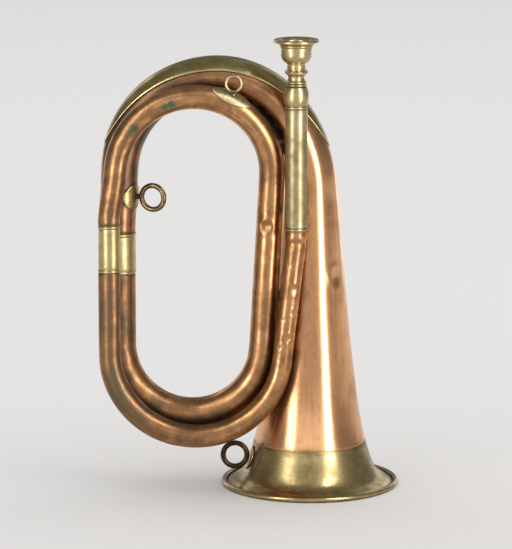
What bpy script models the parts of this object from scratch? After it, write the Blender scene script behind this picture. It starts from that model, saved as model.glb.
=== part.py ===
# Twice-wound copper duty bugle with brass trim, standing on its bell.
# Metres, +Z up. The bell's mouth is on Z = 0 and its axis is on Y = 0. +X runs from the
# coil towards the bell, and the mouthpiece pipe lies in front of the bell, at -Y.
import math

import bmesh
import bpy
from mathutils import Matrix, Vector

# Fits
GAP = 0.0003                 # space left between pieces that touch
COPPER_WALL = 0.0005
BRASS_WALL = 0.0005

# Bell: a long cone, a gentle swell and a sharp lip, added up by bell_radius
BELL_X = 0.0397
BELL_TOP_Z = 0.1920
BELL_TOP_RADIUS = 0.0173
BELL_TAPER = 0.0825          # growth in radius for each metre downwards
SWELL_RADIUS = 0.0090
SWELL_HEIGHT = 0.036
LIP_AREA = 0.000033          # square metres, divided by the height above the mouth
BELL_SIDES = 20

# Brass band round the mouth, rolled over a wire
GARLAND_TOP_Z = 0.028
GARLAND_FLARE_Z = 0.004
GARLAND_STEPS = 28
RIM_RADIUS = 0.0568
ROLL_RADIUS = 0.0016
WIRE_RADIUS = 0.0008
LINER_INSET = 0.0012         # how far the copper lies inside the garland's outer face

# Coil, from the mouthpiece to the bell. A bow is given by its centre and bend radius.
LEAD_X = 0.0303
LEAD_Y = -0.0302
LEAD_SLANT = math.radians(6.5)
LEAD_TOP_Z = 0.2330
LEAD_RADIUS = 0.0064
LOWER_BOW_FRONT = (-0.0330, 0.0922, 0.0549)
LOWER_BOW_SWELL = 0.0008     # growth in radius near the middle of the front lower bow
SWELL_EASE = 1.6             # above 1 moves it away from the bow's start
LEFT_FRONT_Y = -0.0300
LEFT_FRONT_RADIUS = 0.0070
FRONT_JOIN_Z = 0.1590
LEAN_START_Z = 0.1800
UPPER_BOW_FRONT = (-0.0343, 0.2058, 0.0495)
COIL_RADIUS_START = 0.0073
COIL_RADIUS_RIGHT = 0.0082
UPPER_FRONT_EASE = 1.6
INNER_RIGHT_Y = -0.0185
LOWER_BOW_BACK = (-0.0372, 0.0953, 0.0464)
LOWER_BOW_BACK_Y = -0.0200
COIL_RADIUS_LOW = 0.0085
LEFT_BACK_Y = -0.0095
LEFT_BACK_RADIUS = 0.0118
BACK_JOIN_Z = 0.1530
BACK_FERRULE_Z = (0.1400, 0.1660)
FRONT_FERRULE_Z = (0.1440, 0.1740)
UPPER_BACK_BEND = 0.0607
UPPER_BACK_CREST_Z = 0.2646
UPPER_BACK_RISE = (0.0602, 0.0726)     # height of the bow on its coil and bell sides
UPPER_BACK_RADII = (0.0119, 0.0172)
UPPER_BACK_GROWTH = 2.5
NECK_DEPTH = 0.0006          # how far a pipe end is drawn down to slip into a ferrule
BOW_STEP = math.radians(12)
LEAD_SIDES = 12
COIL_SIDES = 14

# Mouthpiece pipe fittings, all on the leadpipe's axis
SHANK_TOP_Z = 0.2623
SHANK_END_Z = 0.2370
COLLAR_FOOT_Z = 0.2503
RECEIVER_END_Z = 0.2335
SLEEVE_Z = (0.1729, 0.2480)
SLEEVE_RADIUS = 0.0071
FITTING_STEPS = 20

# Hanging rings
RING_MAJOR = 0.00765
RING_WIRE = 0.0017
TOP_RING_MAJOR = 0.0049
TOP_RING_WIRE = 0.0009
TOP_RING_FOOT = 0.0010
TOP_RING_SHARE = 0.52         # where it stands along its plate
SIDE_RING_Z = 0.1897
SIDE_RING_FOOT = 0.0007
SIDE_RING_TURN = math.radians(22)
SIDE_PLATE_TURN = math.radians(34)
SIDE_PLATE_WRAP = math.radians(44)
SIDE_PLATE_HALF = 0.0083
BELL_RING_Z = 0.0206
BELL_RING_TURN = math.radians(12)
BELL_PLATE_Z = (0.0110, 0.0260)
PLATE_THICKNESS = 0.0006
PLATE_LIFT = 0.0004          # a flat-faced sheet has to clear a round pipe
GUARD_LIFT = 0.0007
GUARD_ANGLES = (math.radians(165), math.radians(19))
GUARD_WRAP = math.radians(65)
TOP_PLATE_ANGLE = math.radians(64.1)
TOP_PLATE_SPREAD = math.radians(14.0)
TOP_PLATE_LEAN = math.radians(38)

COPPER = ("copper", (0.48, 0.20, 0.10), 0.28)
BRASS = ("brass", (0.42, 0.30, 0.12), 0.32)
STEEL = ("iron_wire", (0.20, 0.18, 0.16), 0.55)
SOLDER = ("solder", (0.36, 0.35, 0.33), 0.45)


def clear_scene():
    for thing in list(bpy.data.objects):
        bpy.data.objects.remove(thing, do_unlink=True)


def metal(node, kind):
    # One Principled material for each sub-part.
    label, colour, roughness = kind
    material = bpy.data.materials.new(label + "_" + node)
    material.use_nodes = True
    shader = material.node_tree.nodes["Principled BSDF"]
    shader.inputs["Base Color"].default_value = (*colour, 1.0)
    shader.inputs["Metallic"].default_value = 1.0
    shader.inputs["Roughness"].default_value = roughness
    return material


def place(node, mesh, kind, location=(0, 0, 0)):
    piece = bpy.data.objects.new(node, mesh)
    piece.location = location
    mesh.materials.clear()
    mesh.materials.append(metal(node, kind))
    mesh.shade_smooth()
    mesh.set_sharp_from_angle(angle=math.radians(35))
    PARTS.objects.link(piece)
    return piece


def bell_radius(height):
    cone = BELL_TOP_RADIUS + BELL_TAPER * (BELL_TOP_Z - height)
    return cone + SWELL_RADIUS * math.exp(-height / SWELL_HEIGHT) + LIP_AREA / height


def bell_slope(height):
    # Change of radius with height, which is negative.
    swell = SWELL_RADIUS / SWELL_HEIGHT * math.exp(-height / SWELL_HEIGHT)
    return -BELL_TAPER - swell - LIP_AREA / height**2


def bell_inset(height, inset):
    # The bell's outline moved square to itself, towards the air inside.
    slope = bell_slope(height)
    length = math.sqrt(1 + slope**2)
    return bell_radius(height) - inset / length, height + inset * slope / length


def blend(start, end, share):
    return start + (end - start) * share


def straight(start, end, radii, count):
    # Stations from start up to, but not including, end.
    shares = [i / count for i in range(count)]
    return [(start.lerp(end, s), blend(*radii, s)) for s in shares]


def bow(centre, angles, depths, radii, ease=1.0, swell=0.0):
    # Stations round a bow in the XZ plane, including both ends, drifting in depth.
    x, z, bend = centre
    first, last = angles
    count = round(abs(last - first) / BOW_STEP)
    stations = []
    for i in range(count + 1):
        share = i / count
        angle = blend(first, last, share)
        y = blend(*depths, share**ease)
        point = Vector((x + bend * math.cos(angle), y, z + bend * math.sin(angle)))
        thicker = swell * math.sin(math.pi * share**SWELL_EASE)
        stations.append((point, blend(*radii, share) + thicker))
    return stations


def tube(node, stations, sides, wall, kind):
    # A tapered pipe, open at both ends, with its outer radius given at each station.
    curve = bpy.data.curves.new(node + "_path", "CURVE")
    curve.dimensions = "3D"
    curve.bevel_depth = 1.0
    curve.bevel_resolution = sides // 2 - 2
    spline = curve.splines.new("POLY")
    spline.points.add(len(stations) - 1)
    for knot, (point, radius) in zip(spline.points, stations):
        knot.co = (*point, 1.0)
        knot.radius = radius
    guide = bpy.data.objects.new(node + "_guide", curve)
    PARTS.objects.link(guide)
    bpy.context.view_layer.update()
    evaluated = guide.evaluated_get(bpy.context.evaluated_depsgraph_get())
    mesh = bpy.data.meshes.new_from_object(evaluated)
    bpy.data.objects.remove(guide, do_unlink=True)
    skin = bmesh.new()
    skin.from_mesh(mesh)
    bmesh.ops.recalc_face_normals(skin, faces=skin.faces)
    skin.to_mesh(mesh)
    skin.free()
    mesh.name = node
    piece = place(node, mesh, kind)
    shell = piece.modifiers.new("wall", "SOLIDIFY")
    shell.thickness = wall
    shell.offset = -1
    return piece


def turned(node, outline, axis, steps, kind):
    # A closed outline of radius and height, run down the outside and up the bore,
    # turned about the upright line through axis. Heights are in the world.
    x, y, z = axis
    corners = [(radius, 0, height - z) for radius, height in outline]
    count = len(corners)
    mesh = bpy.data.meshes.new(node)
    mesh.from_pydata(corners, [(i, (i + 1) % count) for i in range(count)], [])
    piece = place(node, mesh, kind, axis)
    lathe = piece.modifiers.new("lathe", "SCREW")
    lathe.steps = steps
    lathe.render_steps = steps
    lathe.merge_threshold = 0.00001
    return piece


def draped(node, surface, half_width, rows, columns, kind):
    # A pointed oval of sheet laid on a round surface. surface gives the centre, the
    # outward and sideways directions and the radius at each share of the length.
    sheet = bmesh.new()
    bmesh.ops.create_grid(sheet, x_segments=rows, y_segments=columns, size=1)
    for corner in sheet.verts:
        share = (corner.co.x + 1) / 2
        centre, out, side, radius = surface(share)
        wrap = corner.co.y * half_width(share)
        reach = out * math.cos(wrap) + side * math.sin(wrap)
        corner.co = centre + reach * radius
    bmesh.ops.remove_doubles(sheet, verts=sheet.verts, dist=0.00002)
    mesh = bpy.data.meshes.new(node)
    sheet.to_mesh(mesh)
    sheet.free()
    piece = place(node, mesh, kind)
    shell = piece.modifiers.new("sheet", "SOLIDIFY")
    shell.thickness = PLATE_THICKNESS
    shell.offset = 1
    return piece


def oval(width, power=0.75):
    return lambda share: width * max(0.0, 4 * share * (1 - share)) ** power


def share_of_bow(angle):
    return (math.pi - angle) / math.pi


def ring(node, centre, major, wire, turn, kind):
    # A wire ring whose hole faces -Y, turned about the upright.
    bpy.ops.mesh.primitive_torus_add(
        major_radius=major, minor_radius=wire, major_segments=20, minor_segments=8
    )
    made = bpy.context.object
    mesh = made.data
    bpy.data.objects.remove(made, do_unlink=True)
    stand = Matrix.Rotation(math.pi / 2, 4, "X")
    mesh.transform(Matrix.Rotation(turn, 4, "Z") @ stand)
    return place(node, mesh, kind, centre)


def post(node, start, end, radius, kind, sides=10):
    # A round post between two points.
    along = end - start
    rod = bmesh.new()
    bmesh.ops.create_cone(
        rod,
        cap_ends=True,
        segments=sides,
        radius1=radius,
        radius2=radius,
        depth=along.length,
    )
    turn = along.to_track_quat("Z", "Y").to_matrix().to_4x4()
    bmesh.ops.transform(rod, matrix=turn, verts=rod.verts)
    mesh = bpy.data.meshes.new(node)
    rod.to_mesh(mesh)
    rod.free()
    return place(node, mesh, kind, (start + end) / 2)


def valley(first, second, bead, side):
    # The centre of a bead lying in the groove between two upright pipes, each given by
    # its centre and radius. side is 1 or -1.
    (a, ra), (b, rb) = first, second
    near = ra + GAP + bead
    far = rb + GAP + bead
    along = b - a
    gap = along.length
    run = (near**2 - far**2 + gap**2) / (2 * gap)
    rise = math.sqrt(max(0.0, near**2 - run**2))
    along.normalize()
    return a + along * run + Vector((-along.y, along.x)) * rise * side


def front_pipe():
    # Leadpipe, front lower bow and front left pipe, up into the front ferrule.
    x, z, bend = LOWER_BOW_FRONT
    foot = Vector((x + bend * math.cos(LEAD_SLANT), LEAD_Y, z - bend * math.sin(LEAD_SLANT)))
    knee_z = foot.z + (LEAD_X - foot.x) / math.tan(LEAD_SLANT)
    knee = Vector((LEAD_X, LEAD_Y, knee_z))
    top = Vector((LEAD_X, LEAD_Y, LEAD_TOP_Z - GAP))
    stations = straight(top, knee, (LEAD_RADIUS, LEAD_RADIUS), 3)
    stations += straight(knee, foot, (LEAD_RADIUS, LEAD_RADIUS), 4)
    stations += bow(
        LOWER_BOW_FRONT,
        (-LEAD_SLANT, -math.pi),
        (LEAD_Y, LEFT_FRONT_Y),
        (LEAD_RADIUS + 0.0002, LEFT_FRONT_RADIUS),
        swell=LOWER_BOW_SWELL,
    )
    stations += neck(x - bend, LEFT_FRONT_Y, FRONT_FERRULE_Z[0], 1, LEFT_FRONT_RADIUS)
    join = Vector((x - bend, LEFT_FRONT_Y, FRONT_JOIN_Z - GAP))
    stations.append((join, LEFT_FRONT_RADIUS - NECK_DEPTH))
    tube("leadpipe", stations, LEAD_SIDES, COPPER_WALL, COPPER)


def middle_pipe():
    # From the front ferrule over the front top bow, down inside and round to the back.
    x, z, bend = UPPER_BOW_FRONT
    left_x = LOWER_BOW_FRONT[0] - LOWER_BOW_FRONT[2]
    join = Vector((left_x, LEFT_FRONT_Y, FRONT_JOIN_Z + GAP))
    lean = Vector((left_x, LEFT_FRONT_Y, LEAN_START_Z))
    spring = Vector((x - bend, LEFT_FRONT_Y, z))
    stations = [(join, LEFT_FRONT_RADIUS - NECK_DEPTH)]
    stations += reversed(neck(left_x, LEFT_FRONT_Y, FRONT_FERRULE_Z[1], -1, LEFT_FRONT_RADIUS))
    stations += straight(lean, spring, (LEFT_FRONT_RADIUS, COIL_RADIUS_START), 2)
    stations += bow(
        UPPER_BOW_FRONT,
        (math.pi, 0),
        (LEFT_FRONT_Y, INNER_RIGHT_Y),
        (COIL_RADIUS_START, COIL_RADIUS_RIGHT),
        UPPER_FRONT_EASE,
    )
    low_x, low_z, low_bend = LOWER_BOW_BACK
    top = stations.pop()[0]
    foot = Vector((low_x + low_bend, LOWER_BOW_BACK_Y, low_z))
    stations += straight(top, foot, (COIL_RADIUS_RIGHT, COIL_RADIUS_LOW), 4)
    stations += bow(
        LOWER_BOW_BACK,
        (0, -math.pi),
        (LOWER_BOW_BACK_Y, LEFT_BACK_Y),
        (COIL_RADIUS_LOW, LEFT_BACK_RADIUS - 0.0001),
    )
    left_x = low_x - low_bend
    stations += neck(left_x, LEFT_BACK_Y, BACK_FERRULE_Z[0], 1, LEFT_BACK_RADIUS)
    end = Vector((left_x, LEFT_BACK_Y, BACK_JOIN_Z - GAP))
    stations.append((end, LEFT_BACK_RADIUS - NECK_DEPTH))
    tube("coil_pipe", stations, COIL_SIDES, COPPER_WALL, COPPER)


def bell_pipe():
    # From the back ferrule over the back top bow and down the bell to its mouth.
    left_x = LOWER_BOW_BACK[0] - LOWER_BOW_BACK[2]
    join = Vector((left_x, LEFT_BACK_Y, BACK_JOIN_Z + GAP))
    lean = Vector((left_x, LEFT_BACK_Y, BACK_FERRULE_Z[1] + 0.004))
    spring = upper_back_at(math.pi)[0]
    stations = [(join, LEFT_BACK_RADIUS - NECK_DEPTH)]
    stations += reversed(neck(left_x, LEFT_BACK_Y, BACK_FERRULE_Z[1], -1, LEFT_BACK_RADIUS))
    stations += straight(lean, spring, (LEFT_BACK_RADIUS, UPPER_BACK_RADII[0]), 2)
    count = round(math.pi / BOW_STEP)
    for i in range(count):
        centre, _, radius = upper_back_at(math.pi * (1 - i / count))
        stations.append((centre, radius))
    heights = [blend(BELL_TOP_Z, GARLAND_TOP_Z + 0.002, i / 7) for i in range(8)]
    for height in heights:
        stations.append((Vector((BELL_X, 0, height)), bell_radius(height) - GAP))
    count = 6
    for i in range(count + 1):
        height = GARLAND_TOP_Z * (GARLAND_FLARE_Z / GARLAND_TOP_Z) ** (i / count)
        radius, level = bell_inset(height, LINER_INSET)
        stations.append((Vector((BELL_X, 0, level)), radius))
    tube("bell_pipe", stations, BELL_SIDES, COPPER_WALL, COPPER)


def upper_back_at(angle):
    # Centre, outward direction and radius at an angle on the back top bow. Each side is
    # a quarter of an ellipse, and the bell side reaches lower.
    coil_rise, bell_rise = UPPER_BACK_RISE
    rise = bell_rise if angle < math.pi / 2 else coil_rise
    share = share_of_bow(angle)
    x = BELL_X - UPPER_BACK_BEND * (1 - math.cos(angle))
    z = UPPER_BACK_CREST_Z - rise * (1 - math.sin(angle))
    centre = Vector((x, blend(LEFT_BACK_Y, 0.0, share), z))
    out = Vector((math.cos(angle) * rise, 0, math.sin(angle) * UPPER_BACK_BEND))
    return centre, out.normalized(), blend(*UPPER_BACK_RADII, share**UPPER_BACK_GROWTH)


def garland():
    # The flared band, its edge rolled up round the rim wire.
    count = 9
    ratio = GARLAND_FLARE_Z / GARLAND_TOP_Z
    heights = [GARLAND_TOP_Z * ratio ** (i / count) for i in range(count + 1)]
    roll_r = RIM_RADIUS - ROLL_RADIUS
    hollow = ROLL_RADIUS - BRASS_WALL
    outside = [(bell_radius(h), h) for h in heights]
    outside.append((roll_r - 0.0033, 0.0024))
    inward = [math.radians(a) for a in range(200, 511, 31)]
    curl = [(roll_r + hollow * math.cos(a), ROLL_RADIUS + hollow * math.sin(a)) for a in inward]
    outward = [math.radians(a) for a in range(150, -91, -30)]
    back = [
        (roll_r + ROLL_RADIUS * math.cos(a), ROLL_RADIUS + ROLL_RADIUS * math.sin(a))
        for a in outward
    ]
    flat = [(roll_r - 0.0014, 0.0), (roll_r - 0.0035, 0.0019)]
    inside = [bell_inset(h, BRASS_WALL) for h in reversed(heights)]
    outline = outside + curl + back + flat + inside
    turned("garland", outline, (BELL_X, 0, 0), GARLAND_STEPS, BRASS)


def rim_wire():
    bpy.ops.mesh.primitive_torus_add(
        major_radius=RIM_RADIUS - ROLL_RADIUS,
        minor_radius=WIRE_RADIUS,
        major_segments=GARLAND_STEPS,
        minor_segments=6,
    )
    made = bpy.context.object
    mesh = made.data
    bpy.data.objects.remove(made, do_unlink=True)
    place("rim_wire", mesh, STEEL, (BELL_X, 0, ROLL_RADIUS))


def neck(x, y, mouth, into, radius):
    # Stations of a pipe end that is drawn down to slip into a ferrule. into is 1 for a
    # pipe that enters from below and -1 for one that enters from above.
    outer = Vector((x, y, mouth - into * (NECK_DEPTH + GAP)))
    inner = Vector((x, y, mouth - into * GAP))
    return [(outer, radius), (inner, radius - NECK_DEPTH)]


def ferrule(node, x, y, span, pipe_radius, kind):
    # A sleeve over the meeting of two pipes, with a bead at each end.
    low, high = span
    apothem = math.cos(math.pi / FITTING_STEPS)
    bore = (pipe_radius + 0.00015) / apothem
    wall = bore + 0.0004
    bead = wall + 0.0003
    depth = 0.0016
    outline = [
        (wall, high),
        (bead, high - depth / 2),
        (wall, high - depth),
        (wall, low + depth),
        (bead, low + depth / 2),
        (wall, low),
        (bore, low),
        (bore, high),
    ]
    turned(node, outline, (x, y, (low + high) / 2), FITTING_STEPS, kind)
    return wall


def band(node, radius, bore, low, high, kind):
    # A rounded ring round the leadpipe's axis.
    crown = radius + 0.0003
    middle = (low + high) / 2
    outline = [(radius, high), (crown, middle), (radius, low), (bore, low), (bore, high)]
    turned(node, outline, (LEAD_X, LEAD_Y, middle), FITTING_STEPS, kind)


def sleeve():
    low, high = SLEEVE_Z
    bore = LEAD_RADIUS + 0.00035
    outline = [(SLEEVE_RADIUS, high), (SLEEVE_RADIUS, low), (bore, low), (bore, high)]
    turned("leadpipe_sleeve", outline, (LEAD_X, LEAD_Y, low), FITTING_STEPS, BRASS)
    band("sleeve_end_ring", SLEEVE_RADIUS, bore, low - 0.0023, low - GAP, BRASS)
    band("receiver_ring", SLEEVE_RADIUS, bore, high + GAP, COLLAR_FOOT_Z - GAP, BRASS)


def receiver():
    # The socket that the mouthpiece wedges into: a barrel above a tapered bush.
    top = SHANK_TOP_Z - GAP
    bush = LEAD_RADIUS
    outline = [
        (0.0067, top),
        (0.0077, top - 0.0022),
        (0.0081, (top + COLLAR_FOOT_Z) / 2),
        (0.0077, COLLAR_FOOT_Z + 0.0022),
        (0.0068, COLLAR_FOOT_Z),
        (bush, COLLAR_FOOT_Z),
        (bush, RECEIVER_END_Z),
        (0.0046, RECEIVER_END_Z),
        (0.0047, SHANK_END_Z),
        (0.0055, top),
    ]
    axis = (LEAD_X, LEAD_Y, COLLAR_FOOT_Z)
    turned("mouthpiece_receiver", outline, axis, FITTING_STEPS, BRASS)


def mouthpiece():
    # Cup, stem beads and shank, with its cup, throat and backbore open right through.
    outside = [
        (0.0130, 0.2923),
        (0.0143, 0.2913),
        (0.0138, 0.2902),
        (0.0104, 0.2883),
        (0.0099, 0.2870),
        (0.0097, 0.2826),
        (0.0092, 0.2807),
        (0.0079, 0.2788),
        (0.0056, 0.2760),
        (0.0059, 0.2747),
        (0.0057, 0.2736),
        (0.0074, 0.2716),
        (0.0057, 0.2700),
        (0.0054, 0.2676),
        (0.0063, 0.2649),
        (0.0056, 0.2642),
        (0.0063, 0.2635),
        (0.0060, SHANK_TOP_Z),
        (0.00505, SHANK_TOP_Z),
        (0.0043, SHANK_END_Z),
    ]
    bore = [
        (0.0032, SHANK_END_Z),
        (0.0020, 0.2690),
        (0.0020, 0.2728),
        (0.0042, 0.2768),
        (0.0068, 0.2808),
        (0.0083, 0.2856),
        (0.0088, 0.2890),
        (0.0100, 0.2917),
        (0.0112, 0.2923),
    ]
    axis = (LEAD_X, LEAD_Y, SHANK_TOP_Z)
    turned("mouthpiece", outside + bore, axis, FITTING_STEPS, BRASS)


def guard():
    # Crescent of brass over the outer side of the back top bow.
    first, last = GUARD_ANGLES
    side = Vector((0, 1, 0))

    def surface(share):
        centre, out, radius = upper_back_at(blend(first, last, share))
        return centre, out, side, radius + GUARD_LIFT

    draped("bow_guard", surface, oval(GUARD_WRAP, 0.5), 18, 10, BRASS)


def top_ring():
    # A small ring on a foot and an oval plate, on the front side of the front top bow.
    x, z, bend = UPPER_BOW_FRONT
    side = Vector((0, 1, 0))

    def surface(share):
        angle = TOP_PLATE_ANGLE + TOP_PLATE_SPREAD * (1 - 2 * share)
        along = share_of_bow(angle)
        out = Vector((math.cos(angle), 0, math.sin(angle)))
        y = blend(LEFT_FRONT_Y, INNER_RIGHT_Y, along**UPPER_FRONT_EASE)
        facing = out * math.cos(TOP_PLATE_LEAN) - side * math.sin(TOP_PLATE_LEAN)
        across = side * math.cos(TOP_PLATE_LEAN) + out * math.sin(TOP_PLATE_LEAN)
        radius = blend(COIL_RADIUS_START, COIL_RADIUS_RIGHT, along) + PLATE_LIFT
        return Vector((x, y, z)) + out * bend, facing, across, radius

    draped("top_ring_plate", surface, oval(math.radians(41)), 8, 4, BRASS)
    spot, facing, _, radius = surface(TOP_RING_SHARE)
    reach = TOP_RING_MAJOR + TOP_RING_WIRE
    foot = spot + facing * (radius + PLATE_THICKNESS + 2 * GAP)
    head = foot + Vector((0, 0, TOP_RING_FOOT))
    post("top_ring_foot", foot, head, TOP_RING_WIRE, BRASS, 8)
    centre = head + Vector((0, 0, reach + GAP))
    ring("top_ring", centre, TOP_RING_MAJOR, TOP_RING_WIRE, 0.0, BRASS)


def side_ring():
    # The ring inside the coil, on the back left pipe, turned a little to the front.
    half = SIDE_PLATE_HALF
    facing = Vector((math.cos(SIDE_PLATE_TURN), -math.sin(SIDE_PLATE_TURN), 0))
    side = Vector((facing.y, -facing.x, 0))
    spring = upper_back_at(math.pi)[0]
    foot = Vector((LOWER_BOW_BACK[0] - LOWER_BOW_BACK[2], LEFT_BACK_Y, BACK_JOIN_Z))

    def surface(share):
        z = blend(SIDE_RING_Z - half, SIDE_RING_Z + half, share)
        along = (z - foot.z) / (spring.z - foot.z)
        radius = blend(LEFT_BACK_RADIUS, UPPER_BACK_RADII[0], along) + PLATE_LIFT
        return foot.lerp(spring, along), facing, side, radius

    draped("side_ring_plate", surface, oval(SIDE_PLATE_WRAP), 8, 8, BRASS)
    centre, _, _, radius = surface(0.5)
    out = Vector((math.cos(SIDE_RING_TURN), -math.sin(SIDE_RING_TURN), 0))
    start = centre + out * (radius + PLATE_THICKNESS + GAP)
    end = start + out * SIDE_RING_FOOT
    post("side_ring_foot", start, end, 0.0016, BRASS, 8)
    spot = end + out * (RING_MAJOR + RING_WIRE + GAP)
    ring("side_ring", spot, RING_MAJOR, RING_WIRE, -SIDE_RING_TURN, BRASS)


def bell_ring():
    # The ring on the garland's coil side, a little towards the front.
    low, high = BELL_PLATE_Z
    out = Vector((-math.cos(BELL_RING_TURN), -math.sin(BELL_RING_TURN), 0))
    side = Vector((out.y, -out.x, 0))

    def surface(share):
        z = blend(low, high, share)
        lift = PLATE_LIFT * math.sqrt(1 + bell_slope(z) ** 2)
        return Vector((BELL_X, 0, z)), out, side, bell_radius(z) + lift

    draped("bell_ring_plate", surface, oval(math.radians(7)), 8, 4, BRASS)
    reach = bell_radius(BELL_RING_Z) + 4 * GAP + PLATE_THICKNESS + RING_MAJOR + RING_WIRE
    centre = Vector((BELL_X, 0, BELL_RING_Z)) + out * reach
    ring("bell_ring", centre, RING_MAJOR, RING_WIRE, 0.0, BRASS)


def stays_and_solder(front_wall, back_wall):
    # What ties the pipes to each other: two stays and three runs of solder.
    for node, height in (("leadpipe_stay_upper", 0.2360), ("leadpipe_stay_lower", 0.1800)):
        centre, reach = bell_side_at(height)
        pipe = Vector((LEAD_X, LEAD_Y, height))
        toward = (centre - pipe).normalized()
        start = pipe + toward * (SLEEVE_RADIUS + GAP)
        end = centre - toward * (reach + GAP)
        post(node, start, end, 0.0018, BRASS)
    left_x = LOWER_BOW_FRONT[0] - LOWER_BOW_FRONT[2]
    back_x = LOWER_BOW_BACK[0] - LOWER_BOW_BACK[2]
    front = Vector((left_x, LEFT_FRONT_Y))
    back = Vector((back_x, LEFT_BACK_Y))
    bead = 0.0013
    solder_run("solder_ferrules", (front, front_wall), (back, back_wall), bead, -1, 0.147, 0.161)
    pipes = ((front, LEFT_FRONT_RADIUS), (back, LEFT_BACK_RADIUS))
    solder_run("solder_left_pipes", *pipes, bead, -1, 0.104, 0.118)
    level = 0.1250
    share = (UPPER_BOW_FRONT[1] - level) / (UPPER_BOW_FRONT[1] - LOWER_BOW_BACK[1])
    right_x = UPPER_BOW_FRONT[0] + UPPER_BOW_FRONT[2]
    low_x = LOWER_BOW_BACK[0] + LOWER_BOW_BACK[2]
    inner = Vector((blend(right_x, low_x, share), blend(INNER_RIGHT_Y, LOWER_BOW_BACK_Y, share)))
    pipes = ((inner, COIL_RADIUS_LOW + 0.0001), (Vector((BELL_X, 0)), bell_radius(level - 0.004)))
    solder_run("solder_coil_bell", *pipes, 0.0019, 1, level - 0.004, level + 0.004)


def bell_side_at(height):
    # Centre and radius of the bell pipe at a height on its bell side.
    if height < BELL_TOP_Z:
        return Vector((BELL_X, 0, height)), bell_radius(height)
    rise = UPPER_BACK_RISE[1]
    angle = math.asin(1 - (UPPER_BACK_CREST_Z - height) / rise)
    centre, _, radius = upper_back_at(angle)
    return centre, radius


def solder_run(node, first, second, bead, side, low, high):
    spot = valley(first, second, bead, side)
    post(node, Vector((*spot, low)), Vector((*spot, high)), bead, SOLDER, 8)


clear_scene()
PARTS = bpy.data.collections.new("bugle")
bpy.context.scene.collection.children.link(PARTS)

mouthpiece()
receiver()
sleeve()
front_pipe()
left_x = LOWER_BOW_FRONT[0] - LOWER_BOW_FRONT[2]
back_x = LOWER_BOW_BACK[0] - LOWER_BOW_BACK[2]
front_wall = ferrule(
    "ferrule_front",
    left_x,
    LEFT_FRONT_Y,
    FRONT_FERRULE_Z,
    LEFT_FRONT_RADIUS - NECK_DEPTH,
    BRASS,
)
middle_pipe()
back_wall = ferrule(
    "ferrule_back",
    back_x,
    LEFT_BACK_Y,
    BACK_FERRULE_Z,
    LEFT_BACK_RADIUS - NECK_DEPTH + 0.0002,
    BRASS,
)
bell_pipe()
garland()
rim_wire()
guard()
top_ring()
side_ring()
bell_ring()
stays_and_solder(front_wall, back_wall)
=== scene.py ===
# Old copper duty bugle with brass trim: its looks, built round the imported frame.
# Metres, +Z up, bell mouth on the floor, mouthpiece pipe towards -Y.
import math

import bmesh
import bpy
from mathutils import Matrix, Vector, noise
from mathutils.bvhtree import BVHTree


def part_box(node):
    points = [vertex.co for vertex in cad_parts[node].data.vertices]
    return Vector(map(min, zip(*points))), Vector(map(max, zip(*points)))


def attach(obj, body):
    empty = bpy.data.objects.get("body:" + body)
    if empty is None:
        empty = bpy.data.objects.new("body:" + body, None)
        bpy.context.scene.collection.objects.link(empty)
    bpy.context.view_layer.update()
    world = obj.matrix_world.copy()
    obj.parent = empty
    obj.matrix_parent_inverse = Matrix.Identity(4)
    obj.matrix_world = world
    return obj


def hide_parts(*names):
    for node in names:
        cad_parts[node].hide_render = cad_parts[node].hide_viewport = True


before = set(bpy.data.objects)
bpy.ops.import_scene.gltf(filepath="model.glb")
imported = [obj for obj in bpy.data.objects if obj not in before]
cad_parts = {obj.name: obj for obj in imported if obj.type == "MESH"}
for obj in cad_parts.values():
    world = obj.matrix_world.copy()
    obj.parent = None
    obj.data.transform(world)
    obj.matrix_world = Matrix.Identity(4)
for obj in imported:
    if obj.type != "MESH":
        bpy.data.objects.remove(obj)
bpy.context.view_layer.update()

mm = 0.001
touch = 0.3 * mm  # space that the pieces of the frame keep between them
tau = 2 * math.pi
made = []  # every piece built here, for the grime pass


# Small helpers

def mix(start, end, share):
    return start + (end - start) * share


def smooth(value, low, high):
    share = min(1.0, max(0.0, (value - low) / (high - low)))
    return share * share * (3 - 2 * share)


def circle(sides):
    # cosine and sine of each step round it
    return [(math.cos(tau * j / sides), math.sin(tau * j / sides)) for j in range(sides)]


def linear(colour):
    # "#c88a5a" as drawn on a screen -> linear light, with alpha
    steps = [int(colour[i:i + 2], 16) / 255 for i in (1, 3, 5)]
    return (*[s / 12.92 if s < 0.04045 else ((s + 0.055) / 1.055) ** 2.4 for s in steps], 1.0)


def addNode(tree, kind, inputs=None, **settings):
    # an input given as a socket is linked, and any other value is set
    node = tree.nodes.new("ShaderNode" + kind)
    for key, value in settings.items():
        setattr(node, key, value)
    for key, value in (inputs or {}).items():
        if isinstance(value, bpy.types.NodeSocket):
            tree.links.new(value, node.inputs[key])
        else:
            node.inputs[key].default_value = value
    return node


def setRamp(node, stops):
    # stops: position and hex colour, from left to right
    ramp = node.color_ramp
    while len(ramp.elements) < len(stops):
        ramp.elements.new(0.5)
    for element, (position, colour) in zip(ramp.elements, stops):
        element.position = position
        element.color = linear(colour)


# Materials. All the metals here are one build-up: bare metal, a mottled oxide film that
# polishing has thinned, dirt and painted shade in the corners and, on the copper, a little
# verdigris.

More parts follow.
